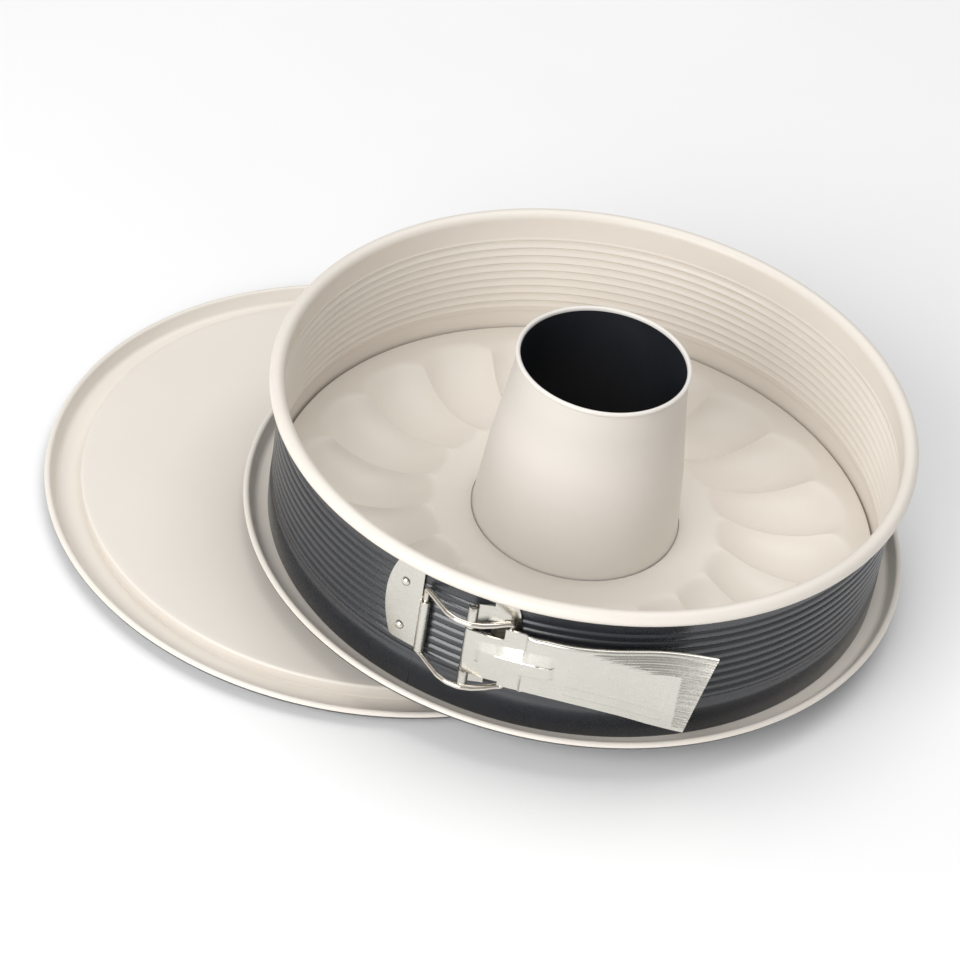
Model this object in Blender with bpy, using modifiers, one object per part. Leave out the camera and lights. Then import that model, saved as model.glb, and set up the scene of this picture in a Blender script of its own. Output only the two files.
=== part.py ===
"""Springform pan with a tube base and a spare flat base, over-centre latch.

Metres, +Z up, standing on z = 0.  The pan's axis is at (PAN_X, PAN_Y).  The
flat base lies on the table and the pan, its base level, stands on it.
"""
import math

import bmesh
import bpy
from mathutils import Vector

MM = 0.001

# ---------------------------------------------------------------- dimensions
SHEET = 0.8                # thickness of the coated steel sheet
GAP = 0.35                 # clearance between touching pieces

PAN_X, PAN_Y = 44.2, -5.4  # the pan's axis in plan
FLAT_X, FLAT_Y = -86.4, 8.7    # centre of the flat base, from the pan's axis
PAN_Z = 12.6               # channel underside of the tube base above the table

# bases: a raised plateau, a channel round it, and a rim with a rolled bead
PLATEAU_R = 130.0
PLATEAU_TOP = 6.8
BEAD_R = 141.2             # centre of the rim bead
FLAT_BEAD_R = 143.2
BEAD_Z = 5.8
BEAD_OUT = 2.2

# flutes pressed into the tube base's plateau: a trough with radial scallops
FLUTES = 20
FLUTE_START = 11.7         # plan angle of one ridge between two flutes
FLUTE_MID, FLUTE_HALF = 91.2, 29.6     # middle and half length of a flute
FLUTE_DEPTH = 9.8
RIDGE_MID, RIDGE_HALF = 93.0, 25.8
RIDGE_DEPTH = 7.0

# funnel
HOLE_R = 45.4
FUNNEL_FOOT_R = 45.0       # outer radius where it leaves the plateau
FUNNEL_TOP_R = 35.9
FUNNEL_TOP = 89.9

# ring band
BAND_FOOT = 1.25
BAND_PLAIN = 16.0          # height of the plain, slightly bulged foot
BAND_R = 131.6             # middle of the sheet in the ribbed wall
BAND_FOOT_R = 132.5
RIM_R = 134.2              # centre of the rolled rim
RIM_Z = 67.2
RIM_OUT = 3.2
SEAM = -113.6              # plan angle of the gap between the two band ends
SEAM_GAP = 0.25            # half of the gap, in degrees
SPINE = 5.0                # half width of the band's back piece, in degrees
HINGE_R = 137.6            # spring hinges, on the outer face of the band

# latch
CATCH_AXIS = (134.55, -112.1)      # radius and plan angle of the vertical axes
LEVER_AXIS = (136.6, -103.2)
EAR_AXIS = (136.3, -96.4)
CURL_R = 1.75              # middle of the sheet in every curled knuckle
CATCH_Z = (22.8, 62.8)
CATCH_CURL_Z = (24.2, 50.2)
LEVER_CURL_Z = (26.8, 48.8)
HINGE_CURL_LOW = (19.0, 26.4)
HINGE_CURL_HIGH = (49.2, 59.8)
EAR_Z = (22.8, 54.5)
WIRE_R = 1.05
WIRE_HIGH = 56.2
WIRE_LOW = 21.0
RIVET_Z = (30.0, 53.2)


def polar(radius, angle, z=0.0):
    """A point in metres from the pan's axis: radius and z in millimetres."""
    a = math.radians(angle)
    return Vector((PAN_X + radius * math.cos(a), PAN_Y + radius * math.sin(a), PAN_Z + z)) * MM


# ------------------------------------------------------------------- scene
for old in list(bpy.data.objects):
    bpy.data.objects.remove(old, do_unlink=True)

parts = bpy.data.collections.new("springform_pan")
cutters = bpy.data.collections.new("cutters")
bpy.context.scene.collection.children.link(parts)
bpy.context.scene.collection.children.link(cutters)


def material(name, color, roughness, metallic):
    m = bpy.data.materials.new(name)
    m.use_nodes = True
    shader = m.node_tree.nodes["Principled BSDF"]
    shader.inputs["Base Color"].default_value = (*color, 1.0)
    shader.inputs["Roughness"].default_value = roughness
    shader.inputs["Metallic"].default_value = metallic
    m.diffuse_color = (*color, 1.0)
    return m


CREAM = (0.84, 0.80, 0.74)
SLATE = (0.055, 0.062, 0.075)
NICKEL = (0.78, 0.76, 0.72)


def add(name, mesh, origin, look):
    obj = bpy.data.objects.new(name, mesh)
    obj.location = origin
    mesh.materials.append(material(name, *look))
    parts.objects.link(obj)
    return obj


def smooth(obj, angle=35.0):
    obj.data.shade_smooth()
    obj.data.set_sharp_from_angle(angle=math.radians(angle))


def arc(cx, cz, radius, start, stop, steps):
    """Points of an arc in a profile; angles in degrees from +X."""
    return [
        (cx + radius * math.cos(math.radians(start + (stop - start) * i / steps)),
         cz + radius * math.sin(math.radians(start + (stop - start) * i / steps)))
        for i in range(steps + 1)
    ]


def flute_depth(radius, angle):
    """How far the fluted plateau lies below its rim at a plan point."""
    pitch = 360.0 / FLUTES
    s = ((angle - FLUTE_START) % pitch) / pitch * 2 - 1      # -1 and 1 on ridges
    floor = FLUTE_DEPTH * (1 - ((radius - FLUTE_MID) / FLUTE_HALF) ** 2)
    ridge = RIDGE_DEPTH * (1 - ((radius - RIDGE_MID) / RIDGE_HALF) ** 2)
    d = floor + (ridge - floor) * s * s
    if abs(radius - FLUTE_MID) > FLUTE_HALF + 2:
        return 0.0
    return d / 2 + math.sqrt(d * d / 4 + 0.16)


def turned_sheet(name, profile, origin, look, steps, start=0.0, sweep=360.0, dent=None):
    """Sheet metal turned about a vertical axis.

    profile holds (radius, height) along the middle of the sheet; origin holds
    the object's origin and a point on the axis, in metres; dent(radius, angle)
    says how far the sheet is pressed down there, in millimetres.
    """
    origin, axis = origin
    bm = bmesh.new()
    a0 = math.radians(start)
    verts = [bm.verts.new((r * MM * math.cos(a0), r * MM * math.sin(a0), z * MM)) for r, z in profile]
    for a, b in zip(verts, verts[1:]):
        bm.edges.new((a, b))
    bmesh.ops.spin(bm, geom=list(bm.verts) + list(bm.edges), cent=(0, 0, 0), axis=(0, 0, 1),
                   angle=math.radians(sweep), steps=steps, use_merge=False, use_duplicate=False)
    bmesh.ops.remove_doubles(bm, verts=list(bm.verts), dist=1e-6)
    if dent:
        for v in bm.verts:
            radius = math.hypot(v.co.x, v.co.y) / MM
            v.co.z -= dent(radius, math.degrees(math.atan2(v.co.y, v.co.x))) * MM
    bmesh.ops.recalc_face_normals(bm, faces=list(bm.faces))
    bmesh.ops.translate(bm, verts=list(bm.verts), vec=axis - origin)
    mesh = bpy.data.meshes.new(name)
    bm.to_mesh(mesh)
    bm.free()
    obj = add(name, mesh, origin, look)
    wall = obj.modifiers.new("sheet", "SOLIDIFY")
    wall.thickness = SHEET * MM
    wall.offset = 0.0
    wall.use_even_offset = True
    smooth(obj)
    return obj


def bent_sheet(name, path, levels, keep, origin, look, thickness=SHEET, edge=None):
    """A strip of sheet metal bent along a plan path.

    path holds plan points (x, y) in metres; levels the heights in millimetres;
    keep(i, j) says if the field between columns i and i+1 and levels j and j+1
    is there; edge(i, j, z) may move a point's height to shape the outline.
    """
    bm = bmesh.new()
    nx, ny = len(path), len(levels)
    made = bmesh.ops.create_grid(bm, x_segments=nx - 1, y_segments=ny - 1, size=1.0)["verts"]
    bm.verts.ensure_lookup_table()
    for v in made:
        i = round((v.co.x + 1) / 2 * (nx - 1))
        j = round((v.co.y + 1) / 2 * (ny - 1))
        z = levels[j]
        if edge:
            z = edge(i, j, z)
        v.co = Vector((path[i][0], path[i][1], (PAN_Z + z) * MM)) - origin
        v.index = i * ny + j
    gone = []
    for f in bm.faces:
        cols = [v.index // ny for v in f.verts]
        rows = [v.index % ny for v in f.verts]
        if not keep(min(cols), min(rows)):
            gone.append(f)
    bmesh.ops.delete(bm, geom=gone, context="FACES")
    bmesh.ops.recalc_face_normals(bm, faces=list(bm.faces))
    mesh = bpy.data.meshes.new(name)
    bm.to_mesh(mesh)
    bm.free()
    obj = add(name, mesh, origin, look)
    wall = obj.modifiers.new("sheet", "SOLIDIFY")
    wall.thickness = thickness * MM
    wall.offset = 0.0
    wall.use_even_offset = True
    smooth(obj)
    return obj


def plan(radius, angle):
    p = polar(radius, angle)
    return (p.x, p.y)


def curl(axis, start, stop, steps, radius=CURL_R):
    """Plan points of a knuckle's curl; angles are counted from the outward
    direction at the axis, positive anticlockwise seen from above."""
    r, a = axis
    c = polar(r, a)
    out = []
    for i in range(steps + 1):
        t = math.radians(a + start + (stop - start) * i / steps)
        out.append((c.x + radius * MM * math.cos(t), c.y + radius * MM * math.sin(t)))
    return out


# -------------------------------------------------------------------- bases
def base_profile(bead_r, inner):
    rise = bead_r - BEAD_OUT + SHEET / 2
    return inner + [
        (PLATEAU_R - 1.6, PLATEAU_TOP - SHEET / 2),
        (PLATEAU_R - SHEET / 2, PLATEAU_TOP - 1.7),
        (PLATEAU_R - SHEET / 2, SHEET / 2),
        (rise - 1.5, SHEET / 2),
        (rise - 0.2, SHEET / 2 + 1.5),
    ] + arc(bead_r, BEAD_Z, BEAD_OUT - SHEET / 2, 180, -110, 6)


pan_axis = polar(0, 0)
flat_axis = pan_axis + Vector((FLAT_X, FLAT_Y, -PAN_Z)) * MM
flat_base = turned_sheet(
    "flat_base",
    base_profile(FLAT_BEAD_R, [(0.0, PLATEAU_TOP - SHEET / 2), (70.0, PLATEAU_TOP - SHEET / 2)]),
    (flat_axis, flat_axis), (CREAM, 0.4, 0.0), 56)
base_disc = turned_sheet(
    "base_disc",
    base_profile(BEAD_R, [(r, PLATEAU_TOP - SHEET / 2)
                          for r in (HOLE_R + SHEET / 2, 60.5, 65.0, 70.0, 76.0, 84.0, 92.0,
                                    100.0, 107.0, 113.0, 118.0, 122.5)]),
    (pan_axis, pan_axis), (CREAM, 0.4, 0.0), 4 * FLUTES, FLUTE_START, dent=flute_depth)

flange = PLATEAU_TOP - SHEET - GAP - SHEET / 2
funnel = turned_sheet(
    "funnel",
    [(FUNNEL_FOOT_R + 4.4, flange), (FUNNEL_FOOT_R - SHEET / 2, flange),
     (FUNNEL_FOOT_R - SHEET / 2 - 0.1, PLATEAU_TOP + 0.4),
     (41.6, 40.0), (37.6, 70.0),
     (FUNNEL_TOP_R - SHEET / 2, FUNNEL_TOP - 1.2)]
    + arc(FUNNEL_TOP_R + 0.45, FUNNEL_TOP - 1.2, 0.85, 180, -60, 4),
    (pan_axis, pan_axis), (CREAM, 0.4, 0.0), 40)

# --------------------------------------------------------------- ring band
band_profile = [
    (BAND_FOOT_R, BAND_FOOT),
    (BAND_FOOT_R + 0.15, BAND_PLAIN * 0.55),
    (BAND_FOOT_R - 0.15, BAND_PLAIN - 1.2),
    (BAND_R, BAND_PLAIN + 0.6),
    (BAND_R, RIM_Z - 1.5),
] + arc(RIM_R, RIM_Z, RIM_OUT - SHEET / 2, 180, -140, 8)

back = SEAM + 180.0
hinge_gap = math.degrees(GAP / HINGE_R)
hinge_left = polar(HINGE_R, back + SPINE)
hinge_right = polar(HINGE_R, back - SPINE)
look = (SLATE, 0.45, 0.0)
band_back = turned_sheet("band_back", band_profile, (polar(HINGE_R, back), pan_axis), look, 3,
                         back - SPINE + hinge_gap / 2, 2 * SPINE - hinge_gap)
band_left = turned_sheet("band_left", band_profile, (hinge_left, pan_axis), look, 36,
                         back + SPINE + hinge_gap / 2,
                         180.0 - SPINE - hinge_gap / 2 - SEAM_GAP / 2)
band_right = turned_sheet("band_right", band_profile, (hinge_right, pan_axis), look, 36,
                          SEAM + SEAM_GAP / 2,
                          180.0 - SPINE - hinge_gap / 2 - SEAM_GAP / 2)

# ------------------------------------------------------------ catch plate
PLATE_R = BAND_R + SHEET + GAP + 0.15     # middle of a plate's sheet
catch_origin = polar(*CATCH_AXIS)
plate_angles = [-119.6, -119.2, -118.6, -117.6, -116.4, -115.2, -114.0, -113.2]
catch_path = [plan(PLATE_R, a) for a in plate_angles] + curl(CATCH_AXIS, -180, 92, 10)
catch_levels = [CATCH_Z[0], CATCH_CURL_Z[0], 31.0, 40.0, CATCH_CURL_Z[1], CATCH_Z[1]]
NPLATE = len(plate_angles)
PLATE_WAIST = 40.0         # height of the plate's widest point


def rounded(step, span, z, low, high):
    """Pulls a plate's end column in, so that its free side is an arc."""
    half = (high - low) / 2
    mid = PLATE_WAIST
    reach = math.sqrt(max(0.0, 1.0 - (1.0 - step) ** 2))
    room = span + (1.0 - span) * reach
    return mid + (z - mid) * room


def catch_edge(i, j, z):
    if i < 5:
        return rounded(i / 5.0, 0.42, z, *CATCH_Z)
    return z


catch_plate = bent_sheet(
    "catch_plate", catch_path, catch_levels,
    lambda i, j: i < NPLATE - 1 or 1 <= j < 4,
    catch_origin, (NICKEL, 0.3, 1.0), edge=catch_edge)


def rivet(name, angle, z):
    """A domed rivet head: the cap of a ball."""
    bm = bmesh.new()
    bmesh.ops.create_uvsphere(bm, u_segments=14, v_segments=10, radius=1.0)
    low = [v for v in bm.verts if v.co.z < -1e-4]
    bmesh.ops.delete(bm, geom=low, context="VERTS")
    rim = [e for e in bm.edges if e.is_boundary]
    bmesh.ops.holes_fill(bm, edges=rim, sides=0)
    bmesh.ops.recalc_face_normals(bm, faces=list(bm.faces))
    for v in bm.verts:
        v.co = Vector((v.co.x * 2.1, v.co.y * 2.1, v.co.z * 1.1)) * MM
    mesh = bpy.data.meshes.new(name)
    bm.to_mesh(mesh)
    bm.free()
    obj = add(name, mesh, polar(PLATE_R + SHEET / 2 + GAP, angle, z), (NICKEL, 0.25, 1.0))
    obj.rotation_euler = (0.0, math.radians(90.0), math.radians(angle))
    smooth(obj)
    return obj


rivet("catch_rivet_lower", -116.75, RIVET_Z[0])
rivet("catch_rivet_upper", -116.7, RIVET_Z[1])

# -------------------------------------------------------------------- bail
bail_origin = polar(*CATCH_AXIS)
LEG_PLAN = [(135.6, -111.1), (138.6, -109.0), (142.0, -106.8), (143.6, -104.9),
            (143.8, -102.8), (142.2, -100.8), (139.6, -98.9), (137.2, -97.4)]


def bail_points():
    """The wire: along one leg, through the catch knuckle, and back."""
    r, a = CATCH_AXIS
    high = [polar(EAR_AXIS[0], EAR_AXIS[1], WIRE_HIGH)]
    high += [polar(pr, pa, WIRE_HIGH) for pr, pa in reversed(LEG_PLAN)]
    knee = [polar(r, a, WIRE_HIGH - 0.6), polar(r, a, CATCH_CURL_Z[1] + 2.0),
            polar(r, a, 37.0), polar(r, a, CATCH_CURL_Z[0] - 1.2), polar(r, a, WIRE_LOW + 0.6)]
    low = [polar(pr, pa, WIRE_LOW) for pr, pa in LEG_PLAN]
    low += [polar(EAR_AXIS[0], EAR_AXIS[1], WIRE_LOW)]
    return high + knee + low


points = bail_points()
curve = bpy.data.curves.new("bail", "CURVE")
curve.dimensions = "3D"
curve.bevel_depth = WIRE_R * MM
curve.bevel_resolution = 2
curve.use_fill_caps = True
spline = curve.splines.new("POLY")
spline.points.add(len(points) - 1)
for point, co in zip(spline.points, points):
    point.co = (*(co - bail_origin), 1.0)
bail = bpy.data.objects.new("bail", curve)
bail.location = bail_origin
curve.materials.append(material("bail", NICKEL, 0.22, 1.0))
parts.objects.link(bail)

# ------------------------------------------------------- hinge plate and pin
lever_origin = polar(*LEVER_AXIS)
hinge_angles = [-94.5, -94.9, -95.5, -96.5, -97.6, -98.8, -100.0]
hinge_path = [plan(PLATE_R, a) for a in hinge_angles] + [plan(133.55, -101.2)] \
    + curl(LEVER_AXIS, 160, -92, 10)
hinge_levels = [HINGE_CURL_LOW[0], CATCH_Z[0], HINGE_CURL_LOW[1], 38.0,
                HINGE_CURL_HIGH[0], HINGE_CURL_HIGH[1], CATCH_Z[1]]
NHINGE = len(hinge_angles)


def hinge_edge(i, j, z):
    if i < 4:
        return rounded(i / 4.0, 0.62, z, *CATCH_Z)
    return z


hinge_plate = bent_sheet(
    "hinge_plate", hinge_path, hinge_levels,
    lambda i, j: (1 <= j) if i < NHINGE - 1 else (j in (0, 1, 4)),
    polar(PLATE_R, -97.0, 40.0), (NICKEL, 0.32, 1.0), edge=hinge_edge)
rivet("hinge_rivet_lower", -97.3, RIVET_Z[0])
rivet("hinge_rivet_upper", -97.3, RIVET_Z[1])

bm = bmesh.new()
pin_low, pin_high = HINGE_CURL_LOW[0] + 0.6, HINGE_CURL_HIGH[1] - 0.6
bmesh.ops.create_cone(bm, cap_ends=True, cap_tris=False, segments=16, radius1=1.0 * MM,
                      radius2=1.0 * MM, depth=(pin_high - pin_low) * MM)
bmesh.ops.translate(bm, verts=list(bm.verts), vec=(0, 0, (pin_low + pin_high) / 2 * MM))
mesh = bpy.data.meshes.new("hinge_pin")
bm.to_mesh(mesh)
bm.free()
hinge_pin = add("hinge_pin", mesh, lever_origin, (NICKEL, 0.3, 1.0))
smooth(hinge_pin)

# ------------------------------------------------------------------- lever
LEVER_R = LEVER_AXIS[0] + CURL_R
EAR_ANGLES = [-97.2, -95.3, -93.5]
HANDLE = [(138.9, -92.9), (139.3, -90.6), (139.9, -88.0), (140.1, -85.2), (139.9, -82.2),
          (139.6, -79.2), (139.2, -76.0), (139.2, -73.0), (140.2, -70.0), (142.2, -67.2),
          (145.6, -64.0)]
lever_path = curl(LEVER_AXIS, -270, 0, 10) + [plan(138.45, -101.6), plan(138.5, -99.6)] \
    + [plan(138.1, a) for a in EAR_ANGLES] + [plan(r, a) for r, a in HANDLE]
NCURL = 13                 # columns of the curl and the neck
lever_levels = [EAR_Z[0], LEVER_CURL_Z[0], 37.0, LEVER_CURL_Z[1], EAR_Z[1]]
HANDLE_LOW_END = 16.4      # the free end reaches lower than the ears
HANDLE_TOP = 53.9
first_handle = NCURL + len(EAR_ANGLES)
last = len(lever_path) - 1


def lever_edge(i, j, z):
    if i < first_handle:
        return z
    t = (i - first_handle) / (last - first_handle)
    low = EAR_Z[0] + 2.4 - (EAR_Z[0] + 2.4 - HANDLE_LOW_END) * t ** 1.2
    high = HANDLE_TOP
    share = (z - lever_levels[0]) / (lever_levels[-1] - lever_levels[0])
    return low + (high - low) * share


lever = bent_sheet(
    "lever", lever_path, lever_levels,
    lambda i, j: 1 <= j <= 2 if i < NCURL else True,
    lever_origin, (NICKEL, 0.28, 1.0), edge=lever_edge)
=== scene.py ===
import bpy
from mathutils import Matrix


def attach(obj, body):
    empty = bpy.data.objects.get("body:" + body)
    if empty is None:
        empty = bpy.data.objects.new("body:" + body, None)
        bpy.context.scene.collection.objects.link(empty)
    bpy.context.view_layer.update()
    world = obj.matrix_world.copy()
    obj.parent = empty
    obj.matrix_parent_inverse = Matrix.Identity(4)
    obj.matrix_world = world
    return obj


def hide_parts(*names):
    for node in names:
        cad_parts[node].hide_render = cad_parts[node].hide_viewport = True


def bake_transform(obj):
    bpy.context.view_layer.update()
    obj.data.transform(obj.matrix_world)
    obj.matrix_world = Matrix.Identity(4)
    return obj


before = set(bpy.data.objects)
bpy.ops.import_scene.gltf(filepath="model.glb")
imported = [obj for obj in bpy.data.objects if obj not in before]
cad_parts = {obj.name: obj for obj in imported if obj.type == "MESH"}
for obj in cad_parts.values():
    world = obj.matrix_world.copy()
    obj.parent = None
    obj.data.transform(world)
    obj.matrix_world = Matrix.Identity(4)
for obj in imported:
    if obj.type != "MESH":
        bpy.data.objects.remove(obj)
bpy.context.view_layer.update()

import math

import bmesh
import bpy
import numpy as np
from mathutils import Matrix, Vector

# ------------------------------------------------------------ dimensions, mm
SHEET = 0.8
PAN_X, PAN_Y, PAN_Z = 44.2, -5.4, 12.6
FLAT_X, FLAT_Y = -86.4, 8.7
PLATEAU_TOP = 6.8
HOLE_R = 45.4
BAND_R = 131.6
SEAM = -113.6
SEAM_GAP = 0.25
BACK = SEAM + 180.0
HINGE_R = 137.6
CATCH_AXIS = (134.55, -112.1)
LEVER_AXIS = (136.6, -103.2)
EAR_AXIS = (136.3, -96.4)
CURL_R = 1.75
PLATE_R = 132.9
WIRE_LOW = 22.9
MM = 0.001


def plan(r, a):
    """Plan point in millimetres of a radius and angle about the pan's axis."""
    t = np.radians(a)
    return np.array([PAN_X + r * np.cos(t), PAN_Y + r * np.sin(t)])


def fillet(points, radius, steps=6):
    """The polyline with its corners rounded; radius is a number or one per point."""
    pts = [np.asarray(p, float) for p in points]
    radii = list(radius) if hasattr(radius, "__len__") else [radius] * len(pts)
    out = [pts[0]]
    for k in range(1, len(pts) - 1):
        p, a, b = pts[k], pts[k - 1] - pts[k], pts[k + 1] - pts[k]
        la, lb = np.linalg.norm(a), np.linalg.norm(b)
        a, b = a / la, b / lb
        cos = float(np.clip(a @ b, -1, 1))
        half = math.acos(cos) / 2
        if radii[k] <= 0 or half > math.radians(89.5):
            out.append(p)
            continue
        cut = min(radii[k] / math.tan(half), la * 0.49, lb * 0.49)
        r = cut * math.tan(half)
        centre = p + (a + b) / np.linalg.norm(a + b) * (r / math.sin(half))
        s, e = p + a * cut - centre, p + b * cut - centre
        turn = math.acos(float(np.clip(s @ e / r / r, -1, 1)))
        for i in range(steps + 1):
            f = i / steps
            out.append(centre + (s * math.sin((1 - f) * turn) + e * math.sin(f * turn)) / math.sin(turn))
    out.append(pts[-1])
    return np.array(out)


def arc(cx, cz, r, start, stop, steps):
    t = np.radians(np.linspace(start, stop, steps + 1))
    return np.stack([cx + r * np.cos(t), cz + r * np.sin(t)], 1)


def thinned(points, least=0.02):
    out = [points[0]]
    for p in points[1:]:
        if np.linalg.norm(p - out[-1]) > least:
            out.append(p)
    return np.array(out)


def line_normals(points):
    """Left-hand normals of a plane polyline."""
    t = np.gradient(points, axis=0)
    seg = np.diff(points, axis=0)
    seg /= np.linalg.norm(seg, axis=1)[:, None]
    t[0], t[-1] = seg[0], seg[-1]
    t[1:-1] = seg[:-1] + seg[1:]
    t /= np.linalg.norm(t, axis=1)[:, None]
    return np.stack([-t[:, 1], t[:, 0]], 1)


# ----------------------------------------------------------------- materials
def surface(name, dark, light, rough, metallic=0.0, patch=14.0, grain=2600.0, grain_bump=0.02,
            grain_size=0.00003, brush=None, coat=0.0, specks=0.0, wear=None, specular=0.5):
    """A procedural finish: colour mottling, roughness patches, fine grain and,
    if brush gives a vector of scales, drawn lines in the metal."""
    m = bpy.data.materials.new(name)
    m.use_nodes = True
    tree = m.node_tree
    nodes, links = tree.nodes, tree.links
    shader = nodes["Principled BSDF"]
    shader.inputs["Metallic"].default_value = metallic
    shader.inputs["Coat Weight"].default_value = coat
    shader.inputs["Coat Roughness"].default_value = 0.25
    shader.inputs["Specular IOR Level"].default_value = specular
    coords = nodes.new("ShaderNodeTexCoord").outputs["Object"]

    def noise(scale, detail=3.0, rough_=0.55, vector=coords):
        n = nodes.new("ShaderNodeTexNoise")
        n.inputs["Scale"].default_value = scale
        n.inputs["Detail"].default_value = detail
        n.inputs["Roughness"].default_value = rough_
        links.new(vector, n.inputs["Vector"])
        return n.outputs["Fac"]

    def span(value, a, b, c, d):
        n = nodes.new("ShaderNodeMapRange")
        n.inputs["From Min"].default_value = a
        n.inputs["From Max"].default_value = b
        n.inputs["To Min"].default_value = c
        n.inputs["To Max"].default_value = d
        links.new(value, n.inputs["Value"])
        return n.outputs["Result"]

    def mix(fac, a, b, blend="MIX"):
        n = nodes.new("ShaderNodeMix")
        n.data_type = "RGBA"
        n.blend_type = blend
        n.inputs[0].default_value = 0.5
        links.new(fac, n.inputs[0])
        for socket, value in ((n.inputs[6], a), (n.inputs[7], b)):
            if isinstance(value, tuple):
                socket.default_value = (*value, 1.0)
            else:
                links.new(value, socket)
        return n.outputs[2]

    def add(a, b, operation="ADD"):
        n = nodes.new("ShaderNodeMath")
        n.operation = operation
        for socket, value in zip(n.inputs, (a, b)):
            if isinstance(value, (int, float)):
                socket.default_value = value
            else:
                links.new(value, socket)
        return n.outputs[0]

    broad = noise(patch, 4.0)
    fine = noise(grain, 2.0)
    colour = mix(span(broad, 0.3, 0.7, 0.0, 1.0), dark, light)
    if specks:
        spots = noise(grain * 0.35, 1.0, 0.4)
        colour = mix(span(spots, 0.72, 0.80, 0.0, specks), colour, tuple(c * 0.55 for c in dark))
    roughness = add(span(broad, 0.25, 0.75, rough[0], rough[1]), span(fine, 0.3, 0.7, -0.02, 0.02))
    height = span(fine, 0.0, 1.0, 0.0, 1.0)
    if brush:
        stretch = nodes.new("ShaderNodeMapping")
        stretch.inputs["Scale"].default_value = brush
        links.new(coords, stretch.inputs["Vector"])
        lines = noise(1.0, 3.0, 0.6, stretch.outputs["Vector"])
        roughness = add(roughness, span(lines, 0.3, 0.7, -0.03, 0.04))
        colour = mix(span(lines, 0.40, 0.80, 0.0, 0.14), colour, tuple(c * 0.84 for c in dark))
        height = add(height, add(lines, 0.8, "MULTIPLY"))
    if wear:
        marks = noise(wear[0], 5.0, 0.7)
        roughness = add(roughness, span(marks, 0.58, 0.72, 0.0, wear[1]))
    links.new(colour, shader.inputs["Base Color"])
    links.new(roughness, shader.inputs["Roughness"])
    bump = nodes.new("ShaderNodeBump")
    bump.inputs["Strength"].default_value = 1.0
    bump.inputs["Distance"].default_value = grain_size
    links.new(height, bump.inputs["Height"])
    links.new(bump.outputs["Normal"], shader.inputs["Normal"])
    return m


CREAM = surface("cream_ceramic", (0.755, 0.702, 0.633), (0.782, 0.732, 0.664), (0.38, 0.46),
                grain_size=0.000012, specks=0.10, wear=(90.0, 0.07), coat=0.12)
PEARL = surface("cream_funnel", (0.765, 0.728, 0.680), (0.792, 0.756, 0.710), (0.34, 0.42),
                grain_size=0.000012, specks=0.10, wear=(90.0, 0.07), coat=0.15)
SLATE = surface("slate_lacquer", (0.018, 0.020, 0.0245), (0.027, 0.029, 0.034), (0.24, 0.32),
                grain=1900.0, grain_size=0.000025, wear=(70.0, 0.08), specular=0.9)
# the funnel's inside: the dark coat of the underside, painted darker and rougher than the slate coat as painted shade
# deep in the bore
BORE_COAT_AND_SHADE = surface("bore_lacquer_painted_shade", (0.010, 0.012, 0.016), (0.018, 0.020, 0.026), (0.45, 0.58),
               grain=1500.0, grain_size=0.00004)
NICKEL = surface("nickel_plate", (0.665, 0.645, 0.590), (0.715, 0.695, 0.640), (0.225, 0.275), 1.0,
                 patch=60.0, grain=1800.0, grain_size=0.000004, brush=(90.0, 90.0, 2600.0),
                 wear=(240.0, 0.06))
WIRE = surface("nickel_wire", (0.66, 0.61, 0.53), (0.80, 0.76, 0.69), (0.14, 0.22), 1.0,
               patch=90.0, grain=1600.0, grain_size=0.00001, brush=(300.0, 300.0, 300.0),
               wear=(300.0, 0.10))


# -------------------------------------------------------------------- meshes
def finish_mesh(name, verts, faces, looks, face_looks, angle=32.0):
    """An object from points in metres, with normals outward and smooth shading."""
    mesh = bpy.data.meshes.new(name)
    mesh.from_pydata([tuple(v) for v in verts], [], [tuple(int(i) for i in f) for f in faces])
    for look in looks:
        mesh.materials.append(look)
    mesh.polygons.foreach_set("material_index", np.asarray(face_looks, np.int32))
    mesh.validate()
    bm = bmesh.new()
    bm.from_mesh(mesh)
    bmesh.ops.remove_doubles(bm, verts=list(bm.verts), dist=1e-6)
    bmesh.ops.recalc_face_normals(bm, faces=list(bm.faces))
    bm.to_mesh(mesh)
    bm.free()
    obj = bpy.data.objects.new(name, mesh)
    bpy.context.scene.collection.objects.link(obj)
    mesh.shade_smooth()
    mesh.set_sharp_from_angle(angle=math.radians(angle))
    return obj


def skins(mid, side, thick=SHEET, sides=None):
    """A closed outline round a sheet's middle line: its points and a look for
    each of its segments. side is the look on the left and on the right, and
    sides(i) may give another pair for segment i."""
    mid = thinned(np.asarray(mid, float))
    n = line_normals(mid)
    half = thick / 2
    left, right = mid + n * half, mid - n * half
    looks = []
    count = len(mid) - 1
    pairs = [sides(i, mid[i]) if sides else side for i in range(count)]
    looks += [p[0] for p in pairs]
    t = mid[-1] - mid[-2]
    t /= np.linalg.norm(t)
    nose = [mid[-1] + t * half * 0.75 + n[-1] * half * 0.6, mid[-1] + t * half * 0.75 - n[-1] * half * 0.6]
    looks += [pairs[-1][0]] * 2 + [pairs[-1][1]]
    looks += [p[1] for p in reversed(pairs)]
    t = mid[0] - mid[1]
    t /= np.linalg.norm(t)
    tail = [mid[0] + t * half * 0.75 - n[0] * half * 0.6, mid[0] + t * half * 0.75 + n[0] * half * 0.6]
    looks += [pairs[0][1]] * 2 + [pairs[0][0]]
    loop = np.concatenate([left, np.array(nose), right[::-1], np.array(tail)])
    return loop, looks


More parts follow.
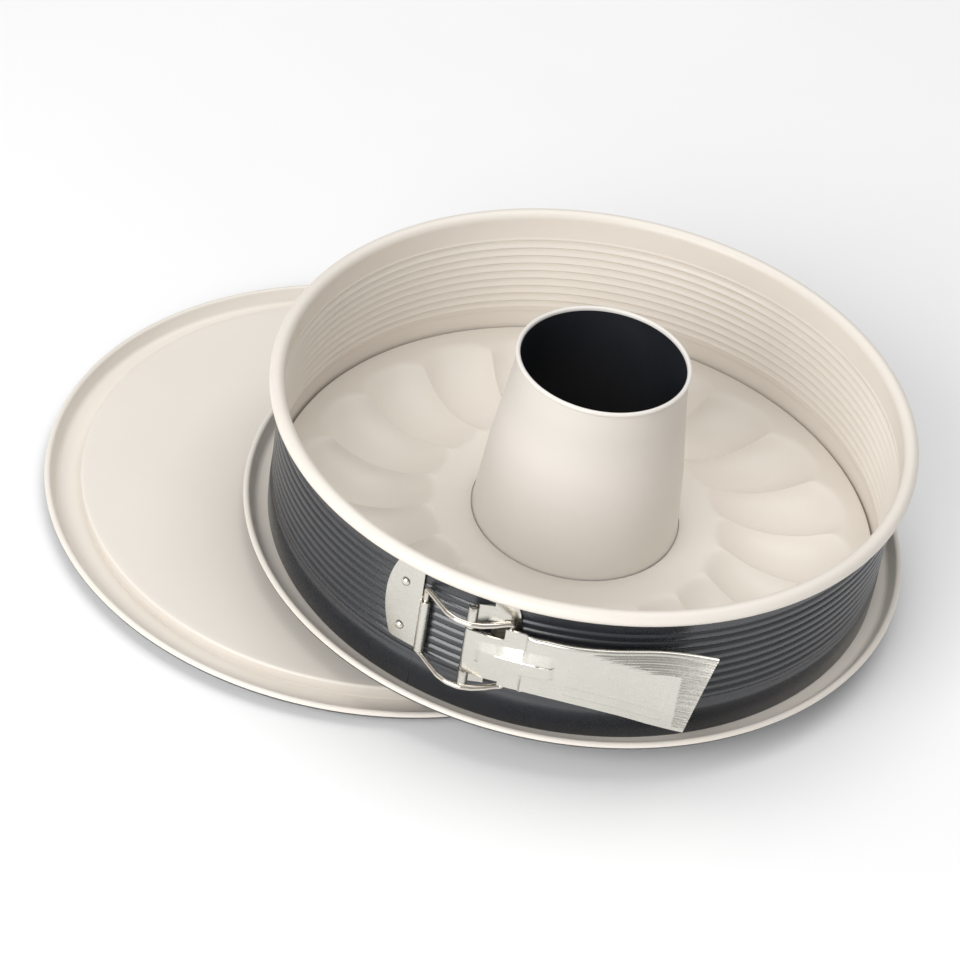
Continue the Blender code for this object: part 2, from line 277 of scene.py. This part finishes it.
def turned(name, loop, loop_looks, looks, angles, centre, dent=None, whole=True, angle=32.0, twist=None):
    """The closed outline turned about a vertical axis through centre (x, y, z).
    twist(r, z, angle) gives each point's own angle in degrees."""
    r, z = loop[:, 0], loop[:, 1]
    a = np.broadcast_to(np.asarray(angles, float)[:, None], (len(angles), len(loop)))
    if twist:
        a = twist(r[None], z[None], a)
    a = np.radians(a)
    grid = np.empty((len(a), len(loop), 3))
    grid[..., 0] = centre[0] + r[None] * np.cos(a)
    grid[..., 1] = centre[1] + r[None] * np.sin(a)
    grid[..., 2] = centre[2] + z[None]
    if dent:
        grid[..., 2] -= dent(np.broadcast_to(r[None], grid.shape[:2]), np.degrees(a))
    na, nl = grid.shape[:2]
    i = np.arange(na if whole else na - 1)
    j = np.arange(nl)
    i1, j1 = (i + 1) % na, (j + 1) % nl
    f = np.stack([i[:, None] * nl + j[None], i1[:, None] * nl + j[None],
                  i1[:, None] * nl + j1[None], i[:, None] * nl + j1[None]], -1).reshape(-1, 4)
    face_looks = list(np.tile(np.asarray(loop_looks), len(i)))
    faces = [list(q) for q in f]
    if not whole:
        # the ends of a part turn are closed by a row of fields across the sheet
        for base in (0, (na - 1) * nl):
            faces.append([base + nl - 3, base + nl - 2, base + nl - 1, base])
            face_looks.append(1)
            k = 0
            while nl - 4 - k > k + 1:
                faces.append([base + k, base + k + 1, base + nl - 4 - k, base + nl - 3 - k])
                face_looks.append(1)
                k += 1
    return finish_mesh(name, grid.reshape(-1, 3) * MM, faces, looks, face_looks, angle)


def sheet(name, centre, normal, keep, look, thick=SHEET, angle=30.0, bevel=0.16):
    """A shaped sheet from its middle surface.

    centre and normal are (columns, rows, 3) arrays in millimetres, and
    keep[i, j] says if the field from column i and row j is there.
    """
    nx, ny = centre.shape[:2]
    half = thick / 2
    front, back = centre + normal * half, centre - normal * half
    verts = np.concatenate([front.reshape(-1, 3), back.reshape(-1, 3)]) * MM
    count = nx * ny
    faces = []
    for i in range(nx - 1):
        for j in range(ny - 1):
            if not keep[i, j]:
                continue
            q = [i * ny + j, (i + 1) * ny + j, (i + 1) * ny + j + 1, i * ny + j + 1]
            faces.append(q)
            faces.append([count + v for v in reversed(q)])
            for (di, dj), (s, e) in (((-1, 0), (3, 0)), ((1, 0), (1, 2)), ((0, -1), (0, 1)), ((0, 1), (2, 3))):
                u, v = i + di, j + dj
                if 0 <= u < nx - 1 and 0 <= v < ny - 1 and keep[u, v]:
                    continue
                faces.append([q[e], q[s], count + q[s], count + q[e]])
    used = sorted({v for f in faces for v in f})
    index = {v: k for k, v in enumerate(used)}
    obj = finish_mesh(name, verts[used], [[index[v] for v in f] for f in faces], [look],
                      [0] * len(faces), angle)
    if bevel:
        edge = obj.modifiers.new("edge", "BEVEL")
        edge.width = bevel * MM
        edge.segments = 2
        edge.limit_method = "ANGLE"
        edge.angle_limit = math.radians(50)
        edge.harden_normals = False
    return obj


def tube(name, points, radius, look, sides=20):
    """A round wire with rounded ends along points in millimetres."""
    p = np.asarray(points, float)
    t = np.gradient(p, axis=0)
    t /= np.linalg.norm(t, axis=1)[:, None]
    u = np.cross(t[0], [0.3, 0.1, 1.0] if abs(t[0][2]) < 0.9 else [1.0, 0.2, 0.0])
    u /= np.linalg.norm(u)
    rings = []
    turn = np.linspace(0, 2 * math.pi, sides, endpoint=False)

    def ring(c, uu, vv, r):
        return c + r * (np.cos(turn)[:, None] * uu + np.sin(turn)[:, None] * vv)

    frames = []
    for k in range(len(p)):
        u = u - t[k] * (u @ t[k])
        u /= np.linalg.norm(u)
        frames.append((u.copy(), np.cross(t[k], u)))
    for g in (80, 60, 40, 20):
        g = math.radians(g)
        rings.append(ring(p[0] - t[0] * radius * 0.5 * math.sin(g), *frames[0], radius * math.cos(g)))
    for k in range(len(p)):
        rings.append(ring(p[k], *frames[k], radius))
    for g in (20, 40, 60, 80):
        g = math.radians(g)
        rings.append(ring(p[-1] + t[-1] * radius * 0.5 * math.sin(g), *frames[-1], radius * math.cos(g)))
    verts = np.concatenate(rings)
    faces = []
    for k in range(len(rings) - 1):
        for s in range(sides):
            n = (s + 1) % sides
            faces.append([k * sides + s, k * sides + n, (k + 1) * sides + n, (k + 1) * sides + s])
    faces.append(list(range(sides)))
    faces.append([(len(rings) - 1) * sides + s for s in range(sides)])
    return finish_mesh(name, verts * MM, faces, [look], [0] * len(faces), 45.0)


# --------------------------------------------------------------------- bases
FLUTES, FLUTE_START = 20, 11.7


def flute_depth(radius, angle):
    pitch = 360.0 / FLUTES
    swirl = -0.08 * (np.clip(radius, 61, 122) - 80.0)
    s = np.mod(angle - swirl - FLUTE_START, pitch) / pitch * 2 - 1
    floor = 9.8 * (1 - ((radius - 91.2) / 29.6) ** 2)
    ridge = 6.0 * (1 - ((radius - 89.0) / 23.0) ** 2)
    d = floor + (ridge - floor) * np.abs(s) ** 2.8
    d = d / 2 + np.sqrt(d * d / 4 + 0.05)
    away = np.clip((np.abs(radius - 91.2) - 27.0) / 6.0, 0, 1)
    return d * (1 - away * away * (3 - 2 * away))


def base_outline(bead_r, inner, dark_from, edge=130.6):
    """Middle line of a base from the plateau out to its rolled rim."""
    line = fillet([(inner[-1], 6.4), (edge, 6.4), (edge - 0.4, 0.4), (bead_r - 3.64, 0.4), (bead_r - 1.0, 6.07)],
                  [0, 0.8, 0.9, 3.0, 0], 8)
    line = np.concatenate([[(r, 6.4) for r in inner[:-1]], line, arc(bead_r, 5.6, 1.1, 155, -130, 26)[1:]])

    def sides(i, p):
        # the light coat covers the top and runs over the rim's outer side
        return (0 if not (p[0] > bead_r and p[1] < dark_from) else 1, 1)

    return skins(line, (0, 1), sides=sides)


centre = (PAN_X, PAN_Y, PAN_Z)
loop, tags = base_outline(143.9, [0.05, 20.0, 45.0, 70.0, 95.0, 115.0, 126.0], 5.75, edge=129.6)
flat = turned("flat_base_sheet", loop, tags, [CREAM, SLATE], np.linspace(0, 360, 288, endpoint=False),
              (PAN_X + FLAT_X, PAN_Y + FLAT_Y, 0.0))
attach(flat, "flat_base")
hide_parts("flat_base")

rings = [HOLE_R + 0.4, 52.0, 58.5] + list(np.arange(61.0, 124.5, 2.0)) + [126.5]
half = np.sin(np.linspace(-math.pi / 2, math.pi / 2, 17)[:-1])
flute_angles = np.concatenate([FLUTE_START + 18.0 * (k + (half + 1) / 2) for k in range(FLUTES)])
loop, tags = base_outline(141.9, rings, 5.75)
disc = turned("tube_base_sheet", loop, tags, [CREAM, SLATE], flute_angles, centre, dent=flute_depth,
              twist=lambda r, z, a: a - 0.08 * (np.clip(r, 61, 122) - 80.0))
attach(disc, "tube_base")
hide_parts("base_disc")

# -------------------------------------------------------------------- funnel
line = fillet([(49.4, 5.25), (44.6, 5.25), (44.5, 7.4), (41.6, 40.0), (37.6, 70.0), (35.5, 88.4)],
              [0, 0.5, 0, 60, 60, 0], 8)
line = np.concatenate([line, arc(36.15, 88.9, 0.65, 180, -60, 14)])
n_funnel = len(thinned(line))


def funnel_sides(i, p):
    lip = p[1] > 88.0
    return (0 if lip else 1, 0)


loop, tags = skins(line, (1, 0), sides=funnel_sides)
# the funnel's inside takes the dark coat with painted shade; its outside and lip are cream
funnel = turned("funnel_sheet", loop, tags, [PEARL, BORE_COAT_AND_SHADE], np.linspace(0, 360, 144, endpoint=False), centre)
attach(funnel, "tube_base")
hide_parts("funnel")

# ---------------------------------------------------------------- ring band
RIB_PITCH, RIB_TOP = 4.23, 54.2


def band_line():
    z = np.concatenate([np.array([1.25, 1.8, 3.0, 5.0, 7.5, 10.0, 12.5, 14.2]),
                        np.arange(15.0, 60.0, RIB_PITCH / 8), np.array([61.5, 63.5, 65.4])])
    foot = 132.15 + 0.15 * np.sin(np.clip((z - 1.25) / 13.0, 0, 1) * math.pi)
    step = np.clip((z - 14.4) / 2.2, 0, 1)
    step = step * step * (3 - 2 * step)
    r = foot + (BAND_R - foot) * step
    fade_in = np.clip((z - 17.2) / 1.5, 0, 1)
    fade_out = np.clip((57.2 - z) / 1.6, 0, 1)
    turn = (z - RIB_TOP) * 2 * math.pi / RIB_PITCH
    wave = np.cos(turn) - 0.36 * np.cos(2 * turn)
    r = r + 0.46 * wave * fade_in * fade_out
    line = np.stack([r, z], 1)
    bead = arc(134.2, 67.2, 2.8, 180, -150, 26)
    return np.concatenate([line, bead])


loop, tags = skins(band_line(), (0, 1))
side_angles = {}
near = np.concatenate([np.arange(0, 4, 0.25), np.arange(4, 20, 0.5), np.arange(20, 178.6, 1.0), [180.0]])
for name, sign, arm, node in (("ring_band_left", 1, "ring_left", "band_left"),
                              ("ring_band_right", -1, "ring_right", "band_right")):
    # the two ends all but meet, and closest in the rolled rim
    def meet(r, z, a, sign=sign):
        last = np.abs(a - BACK) > 179.0
        gap = np.where(z > 63.0, 0.004, 0.05)
        return np.where(last, BACK + sign * (180.0 - gap), a)

    piece = turned(name, loop, tags, [CREAM, SLATE], BACK + sign * near, centre, whole=False, twist=meet)
    t = math.radians(BACK)
    start = plan(BAND_R + 1.5, BACK)
    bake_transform(piece)
    if sign > 0:
        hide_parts(node, "band_back")
    else:
        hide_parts(node)


# --------------------------------------------------------------- latch plates
def path_columns(points):
    """Plan points in millimetres and their outward normals."""
    p = np.asarray(points, float)
    n = -line_normals(p)
    return p, n


def curl_points(axis, start, stop, steps, radius=CURL_R):
    c = plan(*axis)
    t = np.radians(axis[1] + np.linspace(start, stop, steps + 1))
    return [c + radius * np.array([math.cos(x), math.sin(x)]) for x in t]


def rows(*groups):
    """Heights from (low, high, fields) groups, and where each group starts."""
    z, marks = [groups[0][0]], [0]
    for low, high, count in groups:
        z += list(np.linspace(low, high, count + 1)[1:])
        marks.append(len(z) - 1)
    return np.array(z), marks


def soft_min(a, b, k):
    return -np.log(np.exp(-a / k) + np.exp(-b / k)) * k


# catch plate: a D-shaped plate with a knuckle rolled from its straight side
zs, marks = rows((22.8, 24.2, 2), (24.2, 50.2, 26), (50.2, 62.8, 12))
arc_mm = np.array([0.03, 0.12, 0.3, 0.6, 1.0, 1.5, 2.1, 2.7, 3.2, 3.6, 4.0, 4.5, 5.1, 6.0, 7.0, 8.2, 9.4, 10.6,
                   11.8, 12.8, 13.8, 14.8, 15.8, 16.6])
plate_a = -120.36 + np.degrees(arc_mm / PLATE_R)
pts = [plan(PLATE_R, a) for a in plate_a] + curl_points(CATCH_AXIS, -176, 92, 30)
p, n = path_columns(pts)
n_plate = len(plate_a)
grid = np.empty((len(p), len(zs), 3))
norm = np.zeros_like(grid)
for i in range(len(p)):
    z = zs.copy()
    if i < n_plate:
        s = arc_mm[i]
        reach = soft_min(math.sqrt(2 * 46.0 * s), 20.0, 0.9) if s < 9 else 20.0
        z = 42.8 + (zs - 42.8) * (reach / 20.0)
    grid[i, :, :2], grid[i, :, 2] = p[i], PAN_Z + z
    norm[i, :, :2] = n[i]
keep = np.zeros((len(p) - 1, len(zs) - 1), bool)
keep[: n_plate - 1, :] = True
keep[n_plate - 1:, marks[1]:marks[2]] = True
catch = sheet("catch_plate_sheet", grid, norm, keep, NICKEL)
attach(catch, "ring_left")
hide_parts("catch_plate")


def rivet(name, angle, z, body, node):
    """A domed head with a flattened top and a rolled lower edge."""
    prof = [(0.0, 1.12), (0.5, 1.10), (0.95, 1.0), (1.35, 0.80), (1.65, 0.55), (1.85, 0.28), (1.95, 0.08), (1.9, 0.0)]
    sides = 36
    axis = np.array([math.cos(math.radians(angle)), math.sin(math.radians(angle)), 0.0])
    tang = np.array([-axis[1], axis[0], 0.0])
    c = np.array([*plan(PLATE_R + SHEET / 2 + 0.2, angle), PAN_Z + z])
    verts, faces = [c + axis * prof[0][1]], []
    for r, h in prof[1:]:
        for s in range(sides):
            t = 2 * math.pi * s / sides
            verts.append(c + axis * h + r * (math.cos(t) * tang + math.sin(t) * np.array([0, 0, 1.0])))
    for s in range(sides):
        n_ = (s + 1) % sides
        faces.append([0, 1 + s, 1 + n_])
        for k in range(len(prof) - 2):
            a, b = 1 + k * sides, 1 + (k + 1) * sides
            faces.append([a + s, b + s, b + n_, a + n_])
    faces.append([1 + (len(prof) - 2) * sides + s for s in range(sides)])
    obj = finish_mesh(name, np.array(verts) * MM, faces, [WIRE], [0] * len(faces), 50.0)
    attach(obj, body)
    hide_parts(node)


rivet("catch_rivet_head_low", -116.75, 30.0, "ring_left", "catch_rivet_lower")
rivet("catch_rivet_head_high", -116.7, 53.2, "ring_left", "catch_rivet_upper")
rivet("hinge_rivet_head_low", -97.3, 30.0, "ring_right", "hinge_rivet_lower")
rivet("hinge_rivet_head_high", -97.3, 53.2, "ring_right", "hinge_rivet_upper")

# hinge plate: a plate whose left side stands off and ends in two knuckles
zs, marks = rows((19.0, 22.8, 4), (22.8, 26.4, 4), (26.4, 49.2, 23), (49.2, 59.8, 11), (59.8, 62.8, 3))
arc_mm = np.array([0.03, 0.12, 0.3, 0.6, 1.0, 1.5, 2.1, 2.7, 3.3, 4.0, 5.0, 6.5, 8.0, 9.5, 11.0, 12.0, 12.76])
plate_a = -94.5 - np.degrees(arc_mm / PLATE_R)
pts = [plan(PLATE_R, a) for a in plate_a] + [plan(132.98, -100.4), plan(133.2, -100.85), plan(133.55, -101.25)] \
    + curl_points(LEVER_AXIS, 158, -92, 30)
p, n = path_columns(pts)
n = -n                      # this path runs the other way round
n_plate = len(plate_a)
grid = np.empty((len(p), len(zs), 3))
norm = np.zeros_like(grid)
for i in range(len(p)):
    z = zs.copy()
    if i < n_plate:
        s = arc_mm[i]
        reach = soft_min(math.sqrt(2 * 60.0 * s), 20.0, 0.9) if s < 9 else 20.0
        z = np.where(zs < 22.8, zs, 42.8 + (zs - 42.8) * (reach / 20.0))
    grid[i, :, :2], grid[i, :, 2] = p[i], PAN_Z + z
    norm[i, :, :2] = n[i]
keep = np.zeros((len(p) - 1, len(zs) - 1), bool)
keep[: n_plate - 1, marks[1]:] = True
keep[n_plate - 1:, marks[0]:marks[2]] = True
keep[n_plate - 1:, marks[3]:marks[4]] = True
bracket = sheet("hinge_plate_sheet", grid, norm, keep, NICKEL)
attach(bracket, "ring_right")
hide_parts("hinge_plate")

# pin through the bracket's and the lever's knuckles
c = plan(*LEVER_AXIS)
line = fillet([(0.02, 19.5), (0.98, 19.5), (1.0, 59.4), (0.02, 59.4)], [0, 0.3, 0.3, 0], 5)
pin = turned("hinge_pin_rod", line, [0] * len(line), [WIRE], np.linspace(0, 360, 28, endpoint=False),
             (c[0], c[1], PAN_Z), angle=50.0)
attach(pin, "ring_right")
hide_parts("hinge_pin")

# ---------------------------------------------------------------------- bail
LEG_PLAN = [(135.6, -111.1), (138.6, -109.0), (142.0, -106.8), (143.6, -104.9),
            (143.8, -102.8), (142.2, -100.8), (139.6, -98.9), (137.2, -97.4)]


def at(r, a, z):
    return np.array([*plan(r, a), PAN_Z + z])


legs = [at(*EAR_AXIS, 50.6), at(*EAR_AXIS, 56.2)] + [at(r, a, 56.2) for r, a in reversed(LEG_PLAN)]
legs += [at(*CATCH_AXIS, 56.2), at(*CATCH_AXIS, 38.0), at(*CATCH_AXIS, WIRE_LOW)]
legs += [at(r, a, WIRE_LOW) for r, a in LEG_PLAN] + [at(*EAR_AXIS, WIRE_LOW), at(*EAR_AXIS, 29.2)]
radii = [0, 1.5] + [7.0] * len(LEG_PLAN) + [1.7, 0, 1.7] + [7.0] * len(LEG_PLAN) + [1.5, 0]
wire = fillet(legs, radii, 6)
wire = thinned(wire, 0.1)
dense = [wire[0]]
for a, b in zip(wire, wire[1:]):
    steps = max(1, int(np.linalg.norm(b - a) / 0.9))
    dense += [a + (b - a) * (k + 1) / steps for k in range(steps)]
bail = tube("bail_wire", dense, 1.2, WIRE)
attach(bail, "bail")
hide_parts("bail")

# --------------------------------------------------------------------- lever
HANDLE = [(138.45, -101.6), (138.5, -99.6), (138.1, -97.2), (138.1, -95.3), (138.1, -93.5), (138.9, -92.3),
          (139.3, -90.6), (139.9, -88.0), (140.1, -85.2), (139.9, -82.2), (139.6, -79.2), (139.2, -76.0),
          (139.2, -73.0), (140.2, -70.0), (142.2, -67.2), (145.6, -64.0), (146.9, -63.0)]
hr, ha = np.array([h[0] for h in HANDLE]), np.array([h[1] for h in HANDLE])


def lever_radius(a):
    """Smooth radius of the lever's middle surface at a plan angle."""
    k = np.clip(np.searchsorted(ha, a) - 1, 0, len(ha) - 2)
    slope = np.gradient(hr, ha)
    h = ha[k + 1] - ha[k]
    t = (a - ha[k]) / h
    return ((2 * t**3 - 3 * t**2 + 1) * hr[k] + (t**3 - 2 * t**2 + t) * h * slope[k]
            + (-2 * t**3 + 3 * t**2) * hr[k + 1] + (t**3 - t**2) * h * slope[k + 1])


def ramp(x, a, b):
    t = np.clip((x - a) / (b - a), 0, 1)
    return t * t * (3 - 2 * t)


# height of the lever's lower edge: nearly straight as seen, it dips to the free end
LOW_A = [-97.3, -93.6, -93.0, -92.0, -90.5, -89.0, -87.5, -86.0, -84.5, -83.0, -81.5, -80.0, -78.5, -77.0,
         -75.5, -74.0, -72.5, -71.0, -69.5, -68.0, -66.5, -65.0, -63.5]
LOW_Z = [24.9, 24.9, 25.6, 26.0, 26.1, 26.15, 26.1, 25.75, 25.2, 24.5, 23.65, 22.7, 21.65, 20.5,
         19.3, 18.15, 17.05, 16.1, 15.3, 14.7, 14.2, 13.8, 13.5]
zs, marks = rows((0.0, 1.0, 44), (1.0, 2.0, 120), (2.0, 3.0, 36))
curl_p = curl_points(LEVER_AXIS, -266, -4, 40)
lev_a = np.concatenate([np.arange(-102.3, -97.3, 0.2), [-97.2], np.arange(-97.0, -86.69, 0.2),
                        np.arange(-86.54, -85.9, 0.08), np.arange(-85.8, -69.29, 0.2), np.arange(-69.2, -68.0, 0.08),
                        np.arange(-67.9, -63.99, 0.2)])
grid = np.empty((len(curl_p) + len(lev_a), len(zs), 3))
norm = np.zeros_like(grid)
cp, cn = path_columns(curl_p)
neck_low, neck_high = 26.8, 48.8
for i in range(len(curl_p)):
    grid[i, :, :2] = cp[i]
    norm[i, :, :2] = cn[i]
    grid[i, :, 2] = np.interp(zs, [0, 1, 2, 3], [22.8, neck_low, neck_high, 54.5])
share = zs / 3.0
for k, a in enumerate(lev_a):
    i = len(curl_p) + k
    low = float(np.interp(a, LOW_A, LOW_Z))
    high = 54.6 + 0.5 * float(ramp(a, -92.8, -90.0))
    z = np.interp(zs, [0, 1, 2, 3], [low, max(neck_low, low + 0.7), neck_high, high])
    up = (z - low) / (high - low)
    # the free end is cut at a slant: its top reaches further round
    slant = ramp(a, -78.0, -64.0) * (0.9 - 2.7 * (1 - up))
    aa = a + slant
    r = lever_radius(aa)
    e = 1e-3
    p0 = np.stack([plan(rr, x) for rr, x in zip(lever_radius(aa - e), aa - e)])
    p1 = np.stack([plan(rr, x) for rr, x in zip(lever_radius(aa + e), aa + e)])
    t = p1 - p0
    t /= np.linalg.norm(t, axis=1)[:, None]
    nn = np.stack([t[:, 1], -t[:, 0]], 1)
    base = np.stack([plan(rr, x) for rr, x in zip(r, aa)])
    # raised bar from the neck into the handle, with a broad upper flank
    top_line = 45.4 + (aa + 101.0) * 0.16
    mid_line = 41.2 + (aa + 99.5) * 0.10
    low_line = 34.7 + np.maximum(0, aa + 94.0) * 0.30
    bar = ramp(z, low_line - 0.5, low_line + 0.3) * np.clip((top_line - z) / (top_line - mid_line), 0, 1) \
        * ramp(aa, -101.9, -100.3) * (1 - ramp(aa, -89.2, -88.2))
    out = bar * (139.8 + (aa + 99.0) * 0.14 - r)
    # crease where the ears meet the handle
    crease = np.exp(-((aa + 93.2) / 0.36) ** 2) * (1 - 0.85 * bar)
    out = out + 0.55 * crease + 0.25 * ramp(aa, -94.0, -93.2) * (1 - bar)
    # slit beside the bar's end
    slit = np.exp(-((z - mid_line) / 0.20) ** 2) * ramp(aa, -99.0, -98.0) * (1 - ramp(aa, -88.8, -88.2))
    out = out - (0.30 + 0.45 * ramp(aa, -91.6, -91.0)) * slit
    out = out - 0.30 * np.exp(-((z - low_line) / 0.20) ** 2) * ramp(aa, -101.0, -100.0) * (1 - ramp(aa, -89.0, -88.4))
    # rolled upper edge
    d = high - z
    hem = np.where(d < 1.9, np.sin(np.clip(d / 1.9, 0, 1) * math.pi) ** 0.7, 0.0) * ramp(a, -93.4, -92.6)
    out = out + 0.95 * hem
    # long ribs under the edge, short ones at the free end, and a plain frame
    pitch = 1.38
    start = -85.0 + 1.6 * np.floor((d - 2.6) / pitch)
    rib = np.cos((d - 3.3) * 2 * math.pi / pitch)
    long_ribs = rib * (d > 2.6) * (d < 2.6 + pitch * 7) * ramp(aa, start, start + 5.0)
    short_ribs = rib * (d >= 2.6 + pitch * 7) * (z > low + 2.0) * ramp(aa, -68.1, -67.7)
    out = out + 0.23 * long_ribs + 0.20 * short_ribs
    frame_v = np.exp(-((a + 86.2) / 0.15) ** 2) * (d > 11.0) + np.exp(-((a + 68.9) / 0.15) ** 2)
    inside = (d > 2.6 + pitch * 7) * (z > low + 4.0)
    out = out + 0.16 * frame_v * inside
    frame_h = np.exp(-((z - low - 4.0) / 0.30) ** 2) + np.exp(-((z - low - 8.4) / 0.30) ** 2)
    out = out + 0.15 * frame_h * ramp(a, -86.4, -86.0) * (1 - ramp(a, -69.1, -68.7))
    base = base + nn * out[:, None]
    grid[i, :, :2], grid[i, :, 2] = base, z
    norm[i, :, :2] = nn
grid[..., 2] += PAN_Z
keep = np.zeros((len(grid) - 1, len(zs) - 1), bool)
n_neck = len(curl_p) + int(np.argmin(np.abs(lev_a + 97.2)))
keep[:n_neck, marks[1]:marks[2]] = True
keep[n_neck:, :] = True
lever = sheet("lever_sheet", grid, norm, keep, NICKEL, bevel=0.14)
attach(lever, "lever")
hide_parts("lever")

# --------------------------------------------------------------------- stage
floor_look = surface("floor_paper", (0.91, 0.91, 0.91), (0.94, 0.94, 0.94), (0.7, 0.8), patch=3.0,
                     grain=500.0, grain_size=0.00002)
bm = bmesh.new()
bmesh.ops.create_grid(bm, x_segments=8, y_segments=8, size=6.0)
mesh = bpy.data.meshes.new("floor")
bm.to_mesh(mesh)
bm.free()
mesh.materials.append(floor_look)
floor = bpy.data.objects.new("floor", mesh)
floor.location = (0, 0, -0.0004)
bpy.context.scene.collection.objects.link(floor)

world = bpy.data.worlds.new("studio")
bpy.context.scene.world = world
world.use_nodes = True
world.node_tree.nodes["Background"].inputs["Color"].default_value = (1.0, 1.0, 1.0, 1.0)
world.node_tree.nodes["Background"].inputs["Strength"].default_value = 0.38


def panel(name, location, target, size, power, color=(1, 1, 1)):
    light = bpy.data.lights.new(name, "AREA")
    light.shape = "RECTANGLE"
    light.size, light.size_y = size
    light.energy = power
    light.color = color
    obj = bpy.data.objects.new(name, light)
    obj.location = location
    obj.rotation_euler = (Vector(target) - Vector(location)).to_track_quat("-Z", "Y").to_euler()
    bpy.context.scene.collection.objects.link(obj)
    return obj


panel("key", (-0.88, -1.72, 1.05), (0.03, 0.0, 0.03), (1.8, 1.5), 42.0)
panel("top", (0.1, 0.7, 2.3), (0.03, 0.4, 0.03), (2.4, 2.0), 28.0)

bpy.context.scene.view_settings.view_transform = "Standard"
bpy.context.scene.view_settings.look = "None"

# -------------------------------------------------------------------- camera
D, ELEV, ROLL, TILT, TURN, FOCAL = 1319.6, 39.58, 11.0, -0.25, 1.86, 3049.5
e = math.radians(ELEV)
eye = np.array([0.0, -D * math.cos(e), D * math.sin(e)])
ahead = -eye / np.linalg.norm(eye)
right = np.cross(ahead, [0, 0, 1.0])
right /= np.linalg.norm(right)
above = np.cross(right, ahead)
axes = np.stack([right, -above, ahead])


def about(axis, degrees):
    c, s = math.cos(math.radians(degrees)), math.sin(math.radians(degrees))
    return np.array({"x": [[1, 0, 0], [0, c, -s], [0, s, c]],
                     "y": [[c, 0, s], [0, 1, 0], [-s, 0, c]],
                     "z": [[c, -s, 0], [s, c, 0], [0, 0, 1]]}[axis])


axes = about("z", ROLL) @ about("x", TILT) @ about("y", TURN) @ axes
camera_data = bpy.data.cameras.new("camera")
camera_data.sensor_width = 36.0
camera_data.lens = FOCAL / 960.0 * 36.0
camera_data.clip_start, camera_data.clip_end = 0.05, 50.0
camera = bpy.data.objects.new("camera", camera_data)
place = Matrix.Identity(4)
for k, column in enumerate((axes[0], -axes[1], -axes[2])):
    for j in range(3):
        place[j][k] = column[j]
for j, c in enumerate((eye + np.array([PAN_X, PAN_Y, PAN_Z + 5.8])) * MM):
    place[j][3] = c
camera.matrix_world = place
bpy.context.scene.collection.objects.link(camera)
bpy.context.scene.camera = camera
